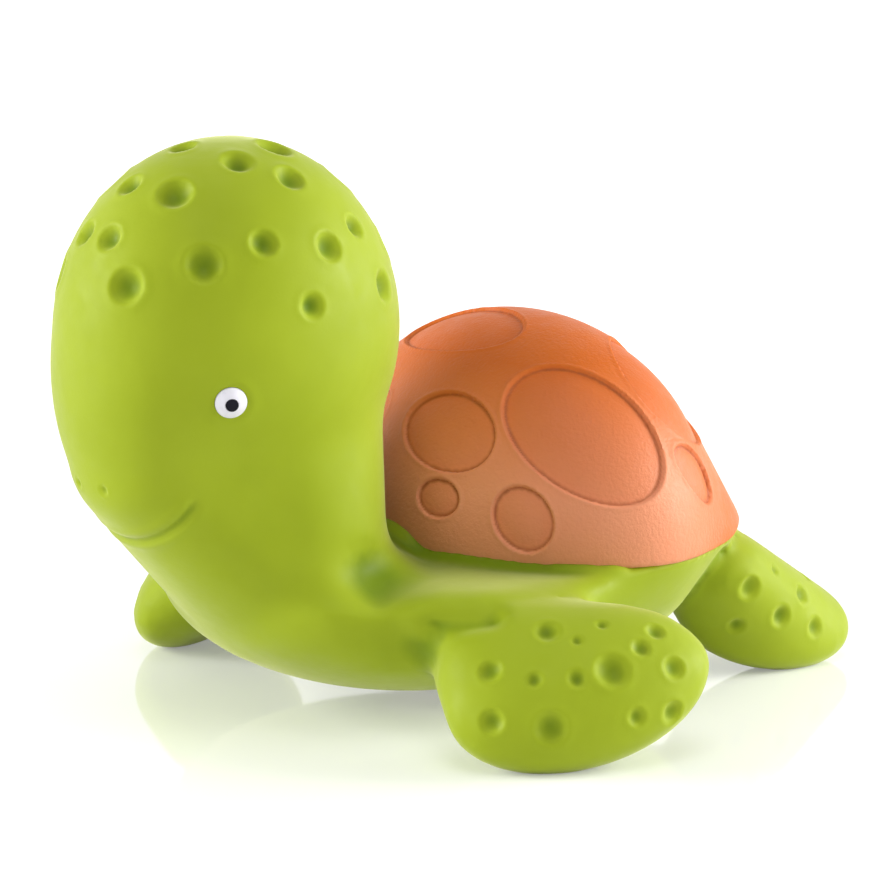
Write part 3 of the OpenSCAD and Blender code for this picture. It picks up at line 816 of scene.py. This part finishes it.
# Lamps: turn from the camera to its right, rise, size, power
LAMPS = [("left", -88, 20, 0.42, 4.9), ("right", 98, 20, 0.42, 5.4), ("low_right", 75, 15, 0.35, 1.3),
         ("front", 0, 56, 0.35, 0.62), ("low_left", -36, 15, 0.35, 0.5), ("low_front", 14, 16, 0.35, 0.3),
         ("top", 10, 78, 0.5, 0.9)]
LAMP_FAR = 0.75
SKY = 0.24
LAMP_AIM = Vector((0, 0, 0.035))
# The floor shows brighter from the toy outward: glow near and far, and the span of the change
FLOOR_LIFT = (0.25, 0.7)
FLOOR_FADE = (0.12, 0.45)
FLOOR_HALF = 3
WHITE = (1, 1, 1, 1)


def build_camera():
    a, e = math.radians(AZIMUTH), math.radians(ELEVATION)
    back = Vector((math.sin(a) * math.cos(e), -math.cos(a) * math.cos(e), math.sin(e)))
    right = Vector((math.cos(a), math.sin(a), 0))
    up = back.cross(right)
    pivot = Vector(MIDDLE) + Vector((0, 0, PIVOT_Z))
    eye = pivot + back * DISTANCE
    aim = pivot + right * ((FRAME_PX / 2 - AXIS_PX[0]) / SCALE) + up * ((AXIS_PX[1] - FRAME_PX / 2) / SCALE)
    data = bpy.data.cameras.new("camera")
    data.sensor_width = SENSOR
    data.lens = SENSOR * SCALE * DISTANCE / FRAME_PX
    data.clip_start, data.clip_end = CLIP
    cam = bpy.data.objects.new("camera", data)
    bpy.context.collection.objects.link(cam)
    cam.location = eye * MM
    cam.rotation_mode = "QUATERNION"
    cam.rotation_quaternion = (aim - eye).to_track_quat("-Z", "Y")
    bpy.context.scene.camera = cam
    return back, right


def area_light(name, at, size, power):
    data = bpy.data.lights.new(name, "AREA")
    data.shape = "DISK"
    data.size = size
    data.energy = power
    light = bpy.data.objects.new(name, data)
    bpy.context.collection.objects.link(light)
    light.visible_camera = False
    light.location = at
    light.rotation_mode = "QUATERNION"
    light.rotation_quaternion = (LAMP_AIM - Vector(at)).to_track_quat("-Z", "Y")


def clear_ray(tree):
    """1 for a ray that shows the background: seen, mirrored or through something clear."""
    path = tree.nodes.new("ShaderNodeLightPath")
    share = path.outputs["Is Camera Ray"]
    for kind in ("Is Glossy Ray", "Is Transmission Ray"):
        most = tree.nodes.new("ShaderNodeMath")
        most.operation = "MAXIMUM"
        tree.links.new(share, most.inputs[0])
        tree.links.new(path.outputs[kind], most.inputs[1])
        share = most.outputs[0]
    return share


def floor_material():
    """Polished white board: shadow and a blurred mirror image on a ground that shows as white."""
    mat, tree, shader = new_material("floor_white", Roughness=0.07, Specular_IOR_Level=0.6)
    tone = ramp(tree, noise(tree, 3, 2), (0.9, 0.9, 0.9, 1), (0.93, 0.93, 0.93, 1), (0, 1))
    tree.links.new(tone, shader.inputs["Base Color"])
    shader.inputs["Emission Color"].default_value = WHITE
    lift = tree.nodes.new("ShaderNodeMath")
    lift.operation = "MULTIPLY"
    tree.links.new(clear_ray(tree), lift.inputs[0])
    where = tree.nodes.new("ShaderNodeTexCoord")
    far = tree.nodes.new("ShaderNodeVectorMath")
    far.operation = "LENGTH"
    tree.links.new(where.outputs["Object"], far.inputs[0])
    tree.links.new(scaled(tree, far.outputs["Value"], *FLOOR_FADE, *FLOOR_LIFT), lift.inputs[1])
    tree.links.new(lift.outputs[0], shader.inputs["Emission Strength"])
    return mat


def build_stage(back, right):
    flat = Vector((back.x, back.y, 0)).normalized()
    for name, turn, rise, size, power in LAMPS:
        t, r = math.radians(turn), math.radians(rise)
        level = (flat * math.cos(t) + right * math.sin(t)) * math.cos(r)
        area_light(name, (level + Vector((0, 0, math.sin(r)))) * LAMP_FAR, size, power)
    bm = bmesh.new()
    bmesh.ops.create_grid(bm, x_segments=1, y_segments=1, size=FLOOR_HALF)
    floor = object_of(bm, "floor")
    floor.data.materials.append(floor_material())


def build_world():
    """White where it is seen, and a weaker white as light."""
    world = bpy.data.worlds.new("studio")
    bpy.context.scene.world = world
    world.use_nodes = True
    tree = world.node_tree
    light = tree.nodes["Background"]
    light.inputs["Color"].default_value = WHITE
    light.inputs["Strength"].default_value = SKY
    seen = tree.nodes.new("ShaderNodeBackground")
    seen.inputs["Color"].default_value = WHITE
    either = tree.nodes.new("ShaderNodeMixShader")
    tree.links.new(clear_ray(tree), either.inputs[0])
    tree.links.new(light.outputs[0], either.inputs[1])
    tree.links.new(seen.outputs[0], either.inputs[2])
    tree.links.new(either.outputs[0], tree.nodes["World Output"].inputs["Surface"])


build_toy()
build_stage(*build_camera())
build_world()
bpy.context.scene.view_settings.view_transform = "Standard"
